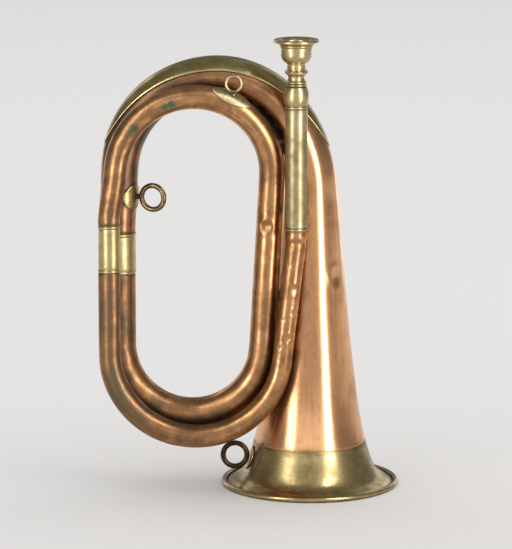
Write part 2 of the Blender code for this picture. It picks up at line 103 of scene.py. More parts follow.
def agedMetal(name, look):
    material = bpy.data.materials.new(name)
    material.use_nodes = True
    tree = material.node_tree
    shader = tree.nodes["Principled BSDF"]
    shader.inputs["Metallic"].default_value = 1.0
    if look.get("grain", True):
        place = addNode(tree, "Attribute", attribute_name="grain").outputs["Vector"]
    else:
        place = addNode(tree, "TexCoord").outputs["Object"]
    drawn = addNode(tree, "Mapping", {"Vector": place, "Scale": look["stretch"]})
    drawn = drawn.outputs[0]

    # clouds in the oxide, streaks left by drawing, spinning or rubbing, and darker specks;
    # hairline scratches are drawn coarser than real ones, to show
    noises = {}
    for part, over, detail, rough, warp in (
            ("cloud", place, 6.0, 0.62, 0.35), ("streak", drawn, 4.0, 0.55, 0.0),
            ("speck", place, 3.0, 0.5, 0.0), ("crust", place, 5.0, 0.7, 0.0),
            ("scratch", drawn, 2.0, 0.5, 0.0)):
        if part + "Mm" in look:
            noises[part] = addNode(tree, "TexNoise", {
                "Vector": over, "Scale": 1 / (look[part + "Mm"] * mm), "Detail": detail,
                "Roughness": rough, "Distortion": warp}).outputs["Fac"]

    tarnish = addNode(tree, "Attribute", attribute_name="tarnish").outputs["Fac"]
    film = addNode(tree, "Math", {
        0: noises["streak"], 1: look["streakShare"], 2: noises["cloud"]},
        operation="MULTIPLY_ADD")
    film = addNode(tree, "Math", {0: film.outputs[0], 1: tarnish}, operation="ADD")
    spread = addNode(tree, "MapRange", {
        "Value": film.outputs[0], "From Min": look["filmFrom"], "From Max": look["filmTo"]})
    colour = addNode(tree, "ValToRGB", {"Fac": spread.outputs[0]})
    setRamp(colour, look["film"])

    spot = addNode(tree, "MapRange", {
        "Value": noises["speck"], "From Min": 0.62, "From Max": 0.72,
        "To Max": look["speckShare"]})
    colour = addNode(tree, "Mix", {
        "Factor": spot.outputs[0], 6: colour.outputs["Color"], 7: linear(look["speck"])},
        data_type="RGBA")

    # dirt and painted shade where pieces meet and in grooves, ragged at its edge
    grimeAndShade = addNode(tree, "Attribute", attribute_name="grimeAndShade").outputs["Fac"]
    ragged = addNode(tree, "Math", {0: noises["cloud"], 1: 1.4, 2: -0.7},
                     operation="MULTIPLY_ADD")
    ragged = addNode(tree, "Math", {0: ragged.outputs[0], 1: grimeAndShade, 2: grimeAndShade},
                     operation="MULTIPLY_ADD", use_clamp=True)
    colour = addNode(tree, "Mix", {
        "Factor": ragged.outputs[0], 6: colour.outputs[2], 7: linear(look["grimeAndShade"])},
        data_type="RGBA")

    shine = addNode(tree, "MapRange", {
        "Value": spread.outputs[0], "To Min": look["roughness"][0], "To Max": look["roughness"][1]})
    rough = addNode(tree, "Math", {
        0: ragged.outputs[0], 1: 0.3, 2: shine.outputs[0]}, operation="MULTIPLY_ADD")
    last, dull = colour.outputs[2], rough.outputs[0]

    if "verdigris" in look:
        # green copper salts: a chalky crust that isn't metal any more
        stain = addNode(tree, "Attribute", attribute_name="stain").outputs["Fac"]
        crust = addNode(tree, "Math", {0: noises["crust"], 1: stain}, operation="ADD")
        crust = addNode(tree, "MapRange", {
            "Value": crust.outputs[0], "From Min": 0.78, "From Max": 1.02, "To Max": 0.92})
        bare = addNode(tree, "Math", {0: 1.0, 1: crust.outputs[0]}, operation="SUBTRACT")
        green = addNode(tree, "Mix", {
            "Factor": crust.outputs[0], 6: last, 7: linear(look["verdigris"])},
            data_type="RGBA")
        dulled = addNode(tree, "Math", {
            0: crust.outputs[0], 1: 0.45, 2: dull}, operation="MULTIPLY_ADD")
        tree.links.new(bare.outputs[0], shader.inputs["Metallic"])
        last, dull = green.outputs[2], dulled.outputs[0]

    # scratches from years of polishing, then shallow pits
    bump = addNode(tree, "Bump", {
        "Height": noises["scratch"], "Strength": look["scratch"], "Distance": 0.02 * mm})
    pits = addNode(tree, "Bump", {
        "Height": noises["cloud"], "Strength": look["pit"], "Distance": 0.05 * mm,
        "Normal": bump.outputs[0]})
    tree.links.new(last, shader.inputs["Base Color"])
    tree.links.new(dull, shader.inputs["Roughness"])
    tree.links.new(pits.outputs[0], shader.inputs["Normal"])
    return material


# Copper tube, drawn and then bent hot: fine lines run along it, and its oxide goes from
# bare tan over brown to a grey olive where hands and cloth don't reach.
copperTube = {
    "cloudMm": 13.0, "streakMm": 2.6, "stretch": (1.0, 1.0, 0.08), "streakShare": 0.55,
    "filmFrom": 0.42, "filmTo": 1.15,
    "film": [(0.0, "#e4b080"), (0.30, "#ca9768"), (0.55, "#a0754e"), (0.80, "#7c5f44"),
             (1.0, "#6a5e49")],
    "speckMm": 1.8, "speckShare": 0.35, "speck": "#67503e",
    # the darkest colour here stands for dirt and for painted shade in the corners
    "grimeAndShade": "#221c16", "verdigris": "#2c5a38", "crustMm": 1.0,
    "roughness": (0.20, 0.42), "scratchMm": 0.35, "scratch": 0.10, "pit": 0.06,
}
# Copper sheet of the bell, hammered round, brazed and burnished: the brightest copper,
# with broad soft clouds.
copperSheet = dict(
    copperTube, cloudMm=24.0, streakMm=2.2, stretch=(1.0, 1.0, 0.03), streakShare=0.40,
    filmFrom=0.40, filmTo=1.2,
    film=[(0.0, "#efbb8c"), (0.35, "#dfa777"), (0.62, "#b9865d"), (0.85, "#8a664b"),
          (1.0, "#695845")],
    roughness=(0.13, 0.32), scratch=0.07, pit=0.04)
# Brass sheet spun over a form: faint rings round it, and an olive film.
spunBrass = {
    "cloudMm": 9.0, "streakMm": 1.1, "stretch": (0.12, 0.12, 1.0), "streakShare": 0.35,
    "filmFrom": 0.35, "filmTo": 1.05,
    "film": [(0.0, "#d6bf8a"), (0.35, "#bca572"), (0.65, "#9e8a5e"), (1.0, "#826c4e")],
    "speckMm": 1.4, "speckShare": 0.2, "speck": "#6d5a3f",
    # the darkest colour here stands for dirt and for painted shade in the corners
    "grimeAndShade": "#241d15", "roughness": (0.16, 0.33), "scratchMm": 0.3, "scratch": 0.10,
    "pit": 0.08,
}
# Brass sheet hammered over the bow and seldom polished: darker and duller.
hammeredBrass = dict(
    spunBrass, cloudMm=7.0, stretch=(1.0, 1.0, 0.25), streakShare=0.3,
    film=[(0.0, "#d9c896"), (0.35, "#ab9a63"), (0.7, "#8d7b4e"), (1.0, "#71613e")],
    roughness=(0.20, 0.36))
# Brass turned on a lathe and handled every day: pale, with fine rings.
turnedBrass = dict(
    spunBrass, cloudMm=9.0, streakMm=0.5, stretch=(0.08, 0.08, 1.0), streakShare=0.3,
    film=[(0.0, "#d3c298"), (0.45, "#b6a47a"), (0.75, "#97865f"), (1.0, "#786847")],
    speckShare=0.15, roughness=(0.27, 0.38), pit=0.03)
# Thin drawn brass that ferrules and small rings are cut from: the yellowest of them.
yellowBrass = dict(
    spunBrass, cloudMm=14.0, streakMm=0.9, streakShare=0.25, filmTo=1.2,
    film=[(0.0, "#f0dda6"), (0.5, "#d3bd84"), (0.8, "#b09a66"), (1.0, "#8a754c")],
    speckShare=0.15, roughness=(0.20, 0.30), pit=0.03)
# Thick brass wire of the lanyard rings, rubbed bright in places on a brown film.
ringBrass = dict(
    spunBrass, cloudMm=4.0, streakMm=1.2, stretch=(1.0, 1.0, 0.3), streakShare=0.4,
    film=[(0.0, "#bfa074"), (0.4, "#7f6647"), (0.7, "#574431"), (1.0, "#3a2d21")],
    roughness=(0.20, 0.36))
# Tin and lead solder, cast soft: grey, slightly lumpy and half matt.
softSolder = dict(
    spunBrass, cloudMm=3.0, streakMm=1.5, stretch=(1.0, 1.0, 1.0), streakShare=0.3,
    film=[(0.0, "#b3aea4"), (0.5, "#8f897d"), (1.0, "#69635a")], speck="#57524a",
    roughness=(0.34, 0.5))
# Black iron wire in the rim, straight from the coil: scale with some rust.
ironWire = dict(
    spunBrass, grain=False, cloudMm=3.0, streakMm=1.0, stretch=(1.0, 1.0, 1.0),
    film=[(0.0, "#6f675f"), (0.5, "#4e443b"), (1.0, "#5f3d27")], speck="#6b3f22",
    roughness=(0.45, 0.7))

finish = {  # each with its slot
    "copperTube": (agedMetal("drawnCopperTube", copperTube), "copper"),
    "copperSheet": (agedMetal("burnishedCopperSheet", copperSheet), "copper"),
    "spunBrass": (agedMetal("spunBrassSheet", spunBrass), "brass_tarnished"),
    "hammeredBrass": (agedMetal("hammeredBrassSheet", hammeredBrass), "brass_tarnished"),
    "turnedBrass": (agedMetal("turnedBrass", turnedBrass), "brass_plain"),
    "yellowBrass": (agedMetal("drawnYellowBrass", yellowBrass), "brass_bright"),
    "ringBrass": (agedMetal("brassRingWire", ringBrass), "brass_tarnished"),
    "solder": (agedMetal("softSolder", softSolder), "solder"),
    "iron": (agedMetal("blackIronWire", ironWire), "iron_wire"),
}
finish["wipedBrass"] = (finish["turnedBrass"][0], "brass_bright")  # the top ring's
print("materials ready")


# Meshes. A skin is a row of rings of points joined one to the next.

def piece(name, rings, metal, replaces, body="bugle", closed=True, grain=None, hollow=None,
          sharp=40.0):
    # closed joins the last ring to the first, and otherwise both end rings are filled
    material, slot = metal
    count = len(rings[0])
    points = [point for ring in rings for point in ring]
    faces = []
    for i in range(len(rings) if closed else len(rings) - 1):
        near, far = i * count, (i + 1) % len(rings) * count
        for j in range(count):
            k = (j + 1) % count
            faces.append((near + j, near + k, far + k, far + j))
    if not closed:
        faces.append(tuple(reversed(range(count))))
        faces.append(tuple(range(len(points) - count, len(points))))
    mesh = bpy.data.meshes.new(name)
    mesh.from_pydata(points, [], faces)
    skin = bmesh.new()
    skin.from_mesh(mesh)
    if skin.calc_volume(signed=True) < 0:
        mesh.flip_normals()
    skin.free()
    flat = [tuple(point) for point in points] if grain is None else grain
    mesh.attributes.new("grain", "FLOAT_VECTOR", "POINT").data.foreach_set(
        "vector", [number for point in flat for number in point])
    mesh.attributes.new("grimeAndShade", "FLOAT", "POINT").data.foreach_set(
        "value", hollow or [0.0] * len(points))
    mesh.attributes.new("tarnish", "FLOAT", "POINT")
    mesh.attributes.new("stain", "FLOAT", "POINT")
    mesh.materials.append(material)
    mesh.shade_smooth()
    mesh.set_sharp_from_angle(angle=math.radians(sharp))
    thing = bpy.data.objects.new(name, mesh)
    bpy.context.scene.collection.objects.link(thing)
    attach(thing, body)
    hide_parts(*replaces)
    made.append(thing)
    return thing


def paint(thing, attribute, rule):
    # rule gives a value for each point's place
    values = [rule(corner.co) for corner in thing.data.vertices]
    thing.data.attributes[attribute].data.foreach_set("value", values)


def reliefAt(point, marks):
    # how far the sheet stands out there, in metres: ripples, dents and raised lips
    height = marks["ripple"] * noise.noise(point / marks["rippleLength"])
    for z, reach, rise in marks.get("bands", []):
        height += rise * math.exp(-((point.z - z) / reach) ** 2)
    for x, y, z, reach, depth in marks["dents"]:
        away = (point / mm - Vector((x, y, z))).length / reach
        if away < 3:
            lip = 0.35 * math.exp(-((away - 1.5) / 0.5) ** 2)
            height += depth * mm * (lip - math.exp(-away ** 2))
    return height


# Pipes. A route is a list of (centre, radius).

def straightRoute(start, end, radii, step=0.0015):
    count = max(1, round((end - start).length / step))
    return [(start.lerp(end, i / count), mix(*radii, i / count)) for i in range(count)]


def bowRoute(centre, angles, depths, radii, ease=1.0, swell=0.0, swellEase=1.0):
    # round a bow given by its centre and bend in the XZ plane, drifting in depth
    x, z, bend = centre
    count = round(abs(angles[1] - angles[0]) / math.radians(1.5))
    route = []
    for i in range(count + 1):
        share = i / count
        angle = mix(*angles, share)
        y = mix(*depths, share ** ease)
        thicker = swell * math.sin(math.pi * share ** swellEase)
        route.append((Vector((x + bend * math.cos(angle), y, z + bend * math.sin(angle))),
                      mix(*radii, share) + thicker))
    return route


def evenly(route, step):
    # the same route read at an even step
    lengths = [0.0]
    for (a, _), (b, _) in zip(route, route[1:]):
        lengths.append(lengths[-1] + (b - a).length)
    count = round(lengths[-1] / step)
    found, j = [], 0
    for i in range(count + 1):
        want = lengths[-1] * i / count
        while j < len(lengths) - 2 and lengths[j + 1] < want:
            j += 1
        share = (want - lengths[j]) / max(1e-9, lengths[j + 1] - lengths[j])
        (a, ra), (b, rb) = route[j], route[j + 1]
        found.append((a.lerp(b, share), mix(ra, rb, share)))
    return found


def eased(route, passes=8):
    # the kink between a straight run and a bow is never sharp in a bent pipe
    for _ in range(passes):
        inner = [((a + b * 2 + c) / 4, (ra + rb * 2 + rc) / 4)
                 for (a, ra), (b, rb), (c, rc) in zip(route, route[1:], route[2:])]
        route = [route[0], *inner, route[-1]]
    return route


def drawnDown(route, start, end, depth=0.0006, shoulder=(0.0003, 0.0009)):
    # the last stretch of a pipe end is drawn down past a shoulder, to slip into its ferrule
    total = sum((b - a).length for (a, _), (b, _) in zip(route, route[1:]))
    found, along, before = [], 0.0, route[0][0]
    for centre, radius in route:
        along += (centre - before).length
        before = centre
        inside = 0.0
        if start:
            inside = max(inside, 1 - smooth(along, start - shoulder[0], start + shoulder[1]))
        if end:
            far = total - end
            inside = max(inside, smooth(along, far - shoulder[1], far + shoulder[0]))
        found.append((centre, radius - depth * inside))
    return found


def pipe(name, route, sides, wall, marks, metal, replaces):
    outer, inner, grainOut, grainIn = [], [], [], []
    along = 0.0
    for i, (centre, radius) in enumerate(route):
        before, after = route[max(0, i - 1)][0], route[min(len(route) - 1, i + 1)][0]
        along += (centre - before).length
        way = (after - before).normalized()
        front = Vector((0, 1, 0))
        across = (front - way * way.dot(front)).normalized()
        over = way.cross(across)
        ringOut, ringIn, lineOut = [], [], []
        for c, s in circle(sides):
            out = across * c + over * s
            lift = reliefAt(centre + out * radius, marks)
            ringOut.append(centre + out * (radius + lift))
            ringIn.append(centre + out * (radius + lift - wall))
            lineOut.append((radius * c, radius * s, along))
        outer.append(ringOut)
        grainOut.append(lineOut)
        if i % 4 == 0 or i == len(route) - 1:
            inner.append(ringIn)
            grainIn.append(lineOut)
    rings = outer + inner[::-1]
    grain = [spot for line in grainOut + grainIn[::-1] for spot in line]
    return piece(name, rings, metal, replaces, grain=grain, sharp=50.0)


bell = {
    "x": 0.0397, "topZ": 0.1920, "topRadius": 0.0173,
    "taper": 0.0825,  # growth in radius per metre downwards
    "swell": 0.0090, "swellHeight": 0.036,  # the gentle widening towards the mouth
    "lipArea": 0.000033,  # the sharp flare, divided by the height
    "bandTopZ": 0.028, "flareZ": 0.004,
    "linerInset": 0.0012,  # how deep the liner lies under the band
    "steps": (120, 60, 16),  # along the bow, the body and the liner
    "sides": 112, "wall": 0.0005,
}


def bellRadius(height):
    cone = bell["topRadius"] + bell["taper"] * (bell["topZ"] - height)
    swell = bell["swell"] * math.exp(-height / bell["swellHeight"])
    return cone + swell + bell["lipArea"] / height


def bellSlope(height):
    swell = bell["swell"] / bell["swellHeight"] * math.exp(-height / bell["swellHeight"])
    return -bell["taper"] - swell - bell["lipArea"] / height ** 2


def bellInset(height, inset):
    # the bell's outline moved square to itself, towards the air inside
    slope = bellSlope(height)
    length = math.sqrt(1 + slope ** 2)
    return bellRadius(height) - inset / length, height + inset * slope / length


leadpipe = {
    "x": 0.0303, "y": -0.0302, "topZ": 0.2327, "radius": 0.0064,
    "slant": math.radians(6.5), "bow": (-0.0330, 0.0922, 0.0549),
    "bowSwell": 0.0008, "swellEase": 1.6,  # the lower bow is thicker near its middle
    "leftY": -0.0300, "leftRadius": 0.0070, "joinZ": 0.1590, "inFerrule": 0.0150,
    "sides": 56, "wall": 0.0005,
    "marks": {
        "ripple": 0.00008, "rippleLength": 0.012,
        # height, reach and rise of the swelling and the pinch just below the sleeve
        "bands": [(0.1668, 0.0022, 0.00050), (0.1633, 0.0010, -0.00030)],
        # x, y, z, reach and depth of each dent in millimetres, here and in the lists below
        "dents": [
            (26.8, -36.2, 160.0, 1.6, 0.22),
            (25.7, -35.8, 149.0, 1.4, 0.18),
            (29.0, -36.4, 133.5, 2.6, 0.40),
            (31.2, -36.4, 127.0, 1.4, 0.30),
            (29.3, -36.2, 118.5, 1.7, 0.34),
            (22.2, -35.6, 114.0, 1.3, 0.25),
            (24.5, -36.4, 102.0, 2.4, 0.40),
            (26.6, -35.8, 98.5, 1.4, 0.35),
            (19.6, -35.6, 96.0, 1.5, 0.25),
            (-31.2, -37.5, 35.2, 2.4, 0.45),
            (-76.0, -36.5, 66.0, 4.0, 0.12),
        ],
    },
}


def leadpipeRoute():
    x, z, bend = leadpipe["bow"]
    slant, radius, y = leadpipe["slant"], leadpipe["radius"], leadpipe["y"]
    foot = Vector((x + bend * math.cos(slant), y, z - bend * math.sin(slant)))
    kneeZ = foot.z + (leadpipe["x"] - foot.x) / math.tan(slant)
    knee = Vector((leadpipe["x"], y, kneeZ))
    top = Vector((leadpipe["x"], y, leadpipe["topZ"]))
    join = Vector((x - bend, leadpipe["leftY"], leadpipe["joinZ"] - touch))
    route = straightRoute(top, knee, (radius, radius))
    route += straightRoute(knee, foot, (radius, radius))
    route += bowRoute(leadpipe["bow"], (-slant, -math.pi), (y, leadpipe["leftY"]),
                      (radius + 0.0002, leadpipe["leftRadius"]), 1.0, leadpipe["bowSwell"],
                      leadpipe["swellEase"])
    route += straightRoute(route.pop()[0], join, (leadpipe["leftRadius"],) * 2)
    route.append((join, leadpipe["leftRadius"]))
    return drawnDown(eased(evenly(route, 0.0008), 20), 0, leadpipe["inFerrule"])


coil = {
    "leanZ": 0.1800, "topBow": (-0.0343, 0.2058, 0.0495), "topEase": 1.6,
    "startRadius": 0.0073, "rightRadius": 0.0082, "rightY": -0.0185,
    "lowBow": (-0.0372, 0.0953, 0.0464), "lowRadius": 0.0085, "lowY": -0.0200,
    "backY": -0.0095, "backRadius": 0.0118, "joinZ": 0.1530, "inFerrule": 0.0130,
    "sides": 64, "wall": 0.0005,
    "marks": {
        "ripple": 0.00006, "rippleLength": 0.016,
        "dents": [
            (11.2, -26.6, 172.2, 3.1, 1.15),
            (7.0, -28.5, 122.5, 1.2, 0.22),
            (-83.6, -20.0, 108.0, 4.5, 0.35),
            (-80.0, -22.0, 86.0, 4.0, 0.30),
            (-62.0, -37.0, 244.0, 4.0, 0.18),
            (-79.0, -37.0, 225.0, 3.4, 0.20),
            (-87.0, -37.0, 195.0, 3.0, 0.25),
            (-88.0, -37.0, 183.0, 2.6, 0.18),
        ],
    },
}


def coilRoute():
    x, z, bend = coil["topBow"]
    leftX = leadpipe["bow"][0] - leadpipe["bow"][2]
    join = Vector((leftX, leadpipe["leftY"], leadpipe["joinZ"] + touch))
    lean = Vector((leftX, leadpipe["leftY"], coil["leanZ"]))
    spring = Vector((x - bend, leadpipe["leftY"], z))
    route = straightRoute(join, lean, (leadpipe["leftRadius"],) * 2)
    route += straightRoute(lean, spring, (leadpipe["leftRadius"], coil["startRadius"]))
    route += bowRoute(coil["topBow"], (math.pi, 0), (leadpipe["leftY"], coil["rightY"]),
                      (coil["startRadius"], coil["rightRadius"]), coil["topEase"])
    lowX, lowZ, lowBend = coil["lowBow"]
    foot = Vector((lowX + lowBend, coil["lowY"], lowZ))
    route += straightRoute(route.pop()[0], foot, (coil["rightRadius"], coil["lowRadius"]))
    route += bowRoute(coil["lowBow"], (0, -math.pi), (coil["lowY"], coil["backY"]),
                      (coil["lowRadius"], coil["backRadius"] - 0.0001))
    end = Vector((lowX - lowBend, coil["backY"], coil["joinZ"] - touch))
    route += straightRoute(route.pop()[0], end, (coil["backRadius"],) * 2)
    route.append((end, coil["backRadius"]))
    return drawnDown(eased(evenly(route, 0.0009), 20), leadpipe["inFerrule"], coil["inFerrule"])


backBow = {
    "bend": 0.0607, "crestZ": 0.2646, "rise": (0.0602, 0.0726),  # coil side, bell side
    "radii": (0.0119, 0.0172), "growth": 2.5, "leanZ": 0.1700,
    "marks": {
        "ripple": 0.00009, "rippleLength": 0.026,
        "dents": [
            (56.0, -15.0, 140.0, 3.4, 0.35),
            (56.2, -15.0, 137.4, 3.4, 0.35),
            (56.5, -15.0, 134.8, 3.4, 0.35),
            (31.0, -28.5, 73.5, 1.2, 0.25),
            (25.0, 30.0, 90.0, 7.0, 0.45),
            (53.0, 20.0, 140.0, 6.0, 0.35),
            (10.0, 30.0, 60.0, 5.0, 0.30),
        ],
    },
}


def backBowAt(angle):
    # centre, outward direction and radius; each side is a quarter of an ellipse
    rise = backBow["rise"][1 if angle < math.pi / 2 else 0]
    share = (math.pi - angle) / math.pi
    x = bell["x"] - backBow["bend"] * (1 - math.cos(angle))
    z = backBow["crestZ"] - rise * (1 - math.sin(angle))
    out = Vector((math.cos(angle) * rise, 0, math.sin(angle) * backBow["bend"]))
    radius = mix(*backBow["radii"], share ** backBow["growth"])
    return Vector((x, mix(coil["backY"], 0.0, share), z)), out.normalized(), radius


def bellRoute():
    leftX = coil["lowBow"][0] - coil["lowBow"][2]
    join = Vector((leftX, coil["backY"], coil["joinZ"] + touch))
    lean = Vector((leftX, coil["backY"], backBow["leanZ"]))
    route = straightRoute(join, lean, (coil["backRadius"],) * 2)
    route += straightRoute(lean, backBowAt(math.pi)[0], (coil["backRadius"], backBow["radii"][0]))
    bow, body, liner = bell["steps"]
    for i in range(bow):
        centre, _, radius = backBowAt(math.pi * (1 - i / bow))
        route.append((centre, radius))
    for i in range(body + 1):
        height = mix(bell["topZ"], bell["bandTopZ"] + touch, i / body)
        route.append((Vector((bell["x"], 0, height)), bellRadius(height) - touch))
    route = drawnDown(eased(evenly(route, 0.0011), 20), coil["inFerrule"], 0)
    for i in range(liner + 1):
        height = bell["bandTopZ"] * (bell["flareZ"] / bell["bandTopZ"]) ** (i / liner)
        if height < bell["bandTopZ"] - bell["linerInset"]:
            radius, level = bellInset(height, bell["linerInset"])
            route.append((Vector((bell["x"], 0, level)), radius))
    return route


leadpipePiece = pipe("leadpipeTube", leadpipeRoute(), leadpipe["sides"], leadpipe["wall"],
                     leadpipe["marks"], finish["copperTube"], ["leadpipe"])
coilPiece = pipe("coilTube", coilRoute(), coil["sides"], coil["wall"], coil["marks"],
                 finish["copperTube"], ["coil_pipe"])
bellPiece = pipe("bellAndBow", bellRoute(), bell["sides"], bell["wall"], backBow["marks"],
                 finish["copperSheet"], ["bell_pipe"])
print("copper pipes made")


# Turned pieces. An outline is a closed list of corners in millimetres, each with the
# bulge of the stretch after it: 0 is straight, above 0 swells outwards.

def curved(corners, steps=9):
    found = []
    count = len(corners)
    for i in range(count):
        r0, z0, bulge = corners[i]
        r1, z1, _ = corners[(i + 1) % count]
        parts = steps if bulge else 1
        for k in range(parts):
            share = k / parts
            rise = 4 * share * (1 - share) * bulge
            dr, dz = r1 - r0, z1 - z0
            found.append(((r0 + dr * share + dz * rise) * mm, (z0 + dz * share - dr * rise) * mm))
    return found


# Dirt and painted shade in a turned groove: how far up and out its two sides may be, how deep it
# starts to hold them and is full of them, and the share of them it then has.
groove = {"height": 0.0011, "width": 0.002, "shallow": 0.00012, "deep": 0.0006, "dirtAndShade": 0.4}


def turned(name, outline, centre, steps, metal, replaces, body="bugle", ripple=0.0,
           rippleLength=0.012, sharp=32.0):
    # an outline of (radius, height) turned about the upright through centre
    x, y = centre
    rings, grain, hollow = [], [], []
    for radius, height in outline:
        near = [r for r, h in outline
                if abs(h - height) < groove["height"] and abs(r - radius) < groove["width"]]
        depth = sum(near) / len(near) - radius
        ring = []
        for c, s in circle(steps):
            out = Vector((c, s, 0))
            spot = Vector((x, y, height)) + out * radius
            lift = ripple * noise.noise(spot / rippleLength) if ripple else 0.0
            ring.append(spot + out * lift)
            grain.append((radius * c, radius * s, height))
            hollow.append(smooth(depth, groove["shallow"], groove["deep"]) * groove["dirtAndShade"])
        rings.append(ring)
    return piece(name, rings, metal, replaces, body, grain=grain, hollow=hollow, sharp=sharp)


leadCentre = (leadpipe["x"], leadpipe["y"])

# Mouthpiece: rim, cup, stem beads, shank, then back up the bore and the cup's inside.
# From the foot of the shank, up the outside.
mouthpieceOutline = [
    (4.30, 237.0, 0), (5.05, 262.3, 0), (6.00, 262.3, 0), (6.30, 262.9, 0.25),
    (6.30, 264.0, 0), (5.75, 264.25, -0.2), (6.30, 264.55, 0.22), (6.15, 265.6, 0),
    (5.40, 266.4, -0.10), (5.30, 269.2, -0.08), (6.00, 269.9, 0.06), (7.25, 271.2, 0.35),
    (7.25, 272.0, 0.06), (5.80, 273.3, 0), (5.60, 273.8, -0.05), (5.60, 274.2, 0.28),
    (5.60, 275.4, 0), (5.50, 275.9, -0.10), (7.00, 277.7, 0.14), (9.75, 284.0, 0.02),
    (9.90, 287.2, 0), (10.40, 287.7, 0.2), (10.50, 288.6, -0.08),
    (13.60, 290.2, 0.30), (14.20, 291.5, 0.20), (13.00, 292.2, 0.05), (11.20, 292.1, 0.12),
    (9.60, 291.0, 0.10), (8.80, 289.0, 0), (8.30, 285.6, -0.05), (6.80, 280.8, -0.05),
    (4.20, 276.8, 0), (2.00, 272.8, 0), (2.00, 269.0, 0), (3.20, 237.0, 0),
]
turned("mouthpieceTurned", curved(mouthpieceOutline), leadCentre, 96, finish["turnedBrass"],
       ["mouthpiece"], "mouthpiece")

receiverOutline = [
    (6.40, 233.5, 0), (6.40, 250.3, 0), (6.70, 250.3, 0.11), (6.70, 262.0, 0),
    (5.50, 262.0, 0), (4.70, 237.0, 0), (4.60, 233.5, 0),
]
turned("receiverCollar", curved(receiverOutline, 22), leadCentre, 80, finish["turnedBrass"],
       ["mouthpiece_receiver"])


def bandOutline(radius, bore, low, high, bulge=0.28):
    corner = 0.12
    return [(bore, low, 0), (radius - corner, low, 0), (radius, low + corner, bulge),
            (radius, high - corner, 0), (radius - corner, high, 0), (bore, high, 0)]


def fromBox(node):
    # outer radius and the two heights of an upright round piece, in millimetres
    low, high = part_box(node)
    return (high.x - low.x) / 2 / mm, low.z / mm, high.z / mm


sleeveBore = 6.75  # millimetres, over the copper pipe
for node, name in (("receiver_ring", "receiverRing"), ("sleeve_end_ring", "sleeveEndRing")):
    radius, low, high = fromBox(node)
    turned(name, curved(bandOutline(radius - 0.35, sleeveBore, low, high, 0.22)), leadCentre, 80,
           finish["turnedBrass"], [node])

radius, low, high = fromBox("leadpipe_sleeve")
sleeveOutline = [(sleeveBore, low, 0), (radius - 0.15, low, 0.2), (radius, low + 0.3, 0)]
sleeveOutline += [(radius, mix(low, high, i / 30), 0) for i in range(1, 30)]
sleeveOutline += [(radius, high - 0.3, 0.2), (radius - 0.15, high, 0), (sleeveBore, high, 0)]
turned("leadpipeSleeve", curved(sleeveOutline), leadCentre, 80, finish["turnedBrass"],
       ["leadpipe_sleeve"], ripple=0.00005, rippleLength=0.006)


def ferruleOutline(radius, low, high):
    # a plain sleeve with a round bead at each end
    bead, wall, bore = 1.7, radius - 0.45, radius - 0.80
    corners = [(bore, low, 0), (wall - 0.10, low, 0), (wall - 0.05, low + 0.15, 0.33),
               (wall - 0.05, low + bead, 0), (wall - 0.16, low + bead + 0.3, 0)]
    steps = 14
    corners += [(wall, mix(low + bead + 0.7, high - bead - 0.7, i / steps), 0)
                for i in range(steps + 1)]
    corners += [(wall - 0.16, high - bead - 0.3, 0), (wall - 0.05, high - bead, 0.33),
                (wall - 0.05, high - 0.15, 0), (wall - 0.10, high, 0), (bore, high, 0)]
    return corners


for node, name in (("ferrule_front", "frontFerrule"), ("ferrule_back", "backFerrule")):
    radius, low, high = fromBox(node)
    least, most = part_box(node)
    centre = ((least.x + most.x) / 2, (least.y + most.y) / 2)
    turned(name, curved(ferruleOutline(radius, low, high)), centre, 80,
           finish["yellowBrass"], [node], ripple=0.00003, rippleLength=0.007)


garland = {"rimRadius": 0.0568, "roll": 0.0016, "wall": 0.0005, "steps": 220}


def garlandOutline():
    # the band's outer face, the curl round the wire, the curl's back, the inner face
    top, flare = bell["bandTopZ"], bell["flareZ"]
    heights = [top * (flare / top) ** (i / 34) for i in range(35)]
    roll, wall = garland["roll"], garland["wall"]
    rollR = garland["rimRadius"] - roll  # where the wire's centre is
    outside = [(bellRadius(h), h) for h in heights]
    outside[0] = (outside[0][0] - 0.00012, top)
    outside.insert(1, (bellRadius(top - 0.00015), top - 0.00015))
    outside += [(rollR - 0.0046, 0.0030), (rollR - 0.0033, 0.0023), (rollR - 0.0026, 0.0020)]
    inner = [math.radians(angle) for angle in range(200, 511, 10)]
    outer = [math.radians(angle) for angle in range(150, -91, -8)]
    curl = [(rollR + (roll - wall) * math.cos(a), roll + (roll - wall) * math.sin(a))
            for a in inner]
    back = [(rollR + roll * math.cos(a), roll + roll * math.sin(a)) for a in outer]
    under = [(rollR - 0.0014, 0.0), (rollR - 0.0024, 0.0009), (rollR - 0.0035, 0.0017)]
    return outside + curl + back + under + [bellInset(h, wall) for h in reversed(heights)]


turned("garlandBand", garlandOutline(), (bell["x"], 0.0), garland["steps"],
       finish["spunBrass"], ["garland"], ripple=0.00006, rippleLength=0.018, sharp=40.0)
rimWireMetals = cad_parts["rim_wire"].data.materials
rimWireMetals.clear()
rimWireMetals.append(finish["iron"][0])
print("turned pieces made")


# Sheet laid on a pipe: the guard and the plates under the rings

sheet = {
    "tip": 0.002,  # share of the length cut off at each tip
    "leastWrap": 0.004, "columns": 22,
    "edge": [(0.3, 0.8), (0.0, 0.45), (0.2, 0.1)],  # its rounding, from top to bottom
    "lipWidth": 0.0012, "rubbedHighlightWidth": 0.0014, "rubbedHighlight": -0.35,
    "ripple": 0.00004, "rippleLength": 0.006,
}


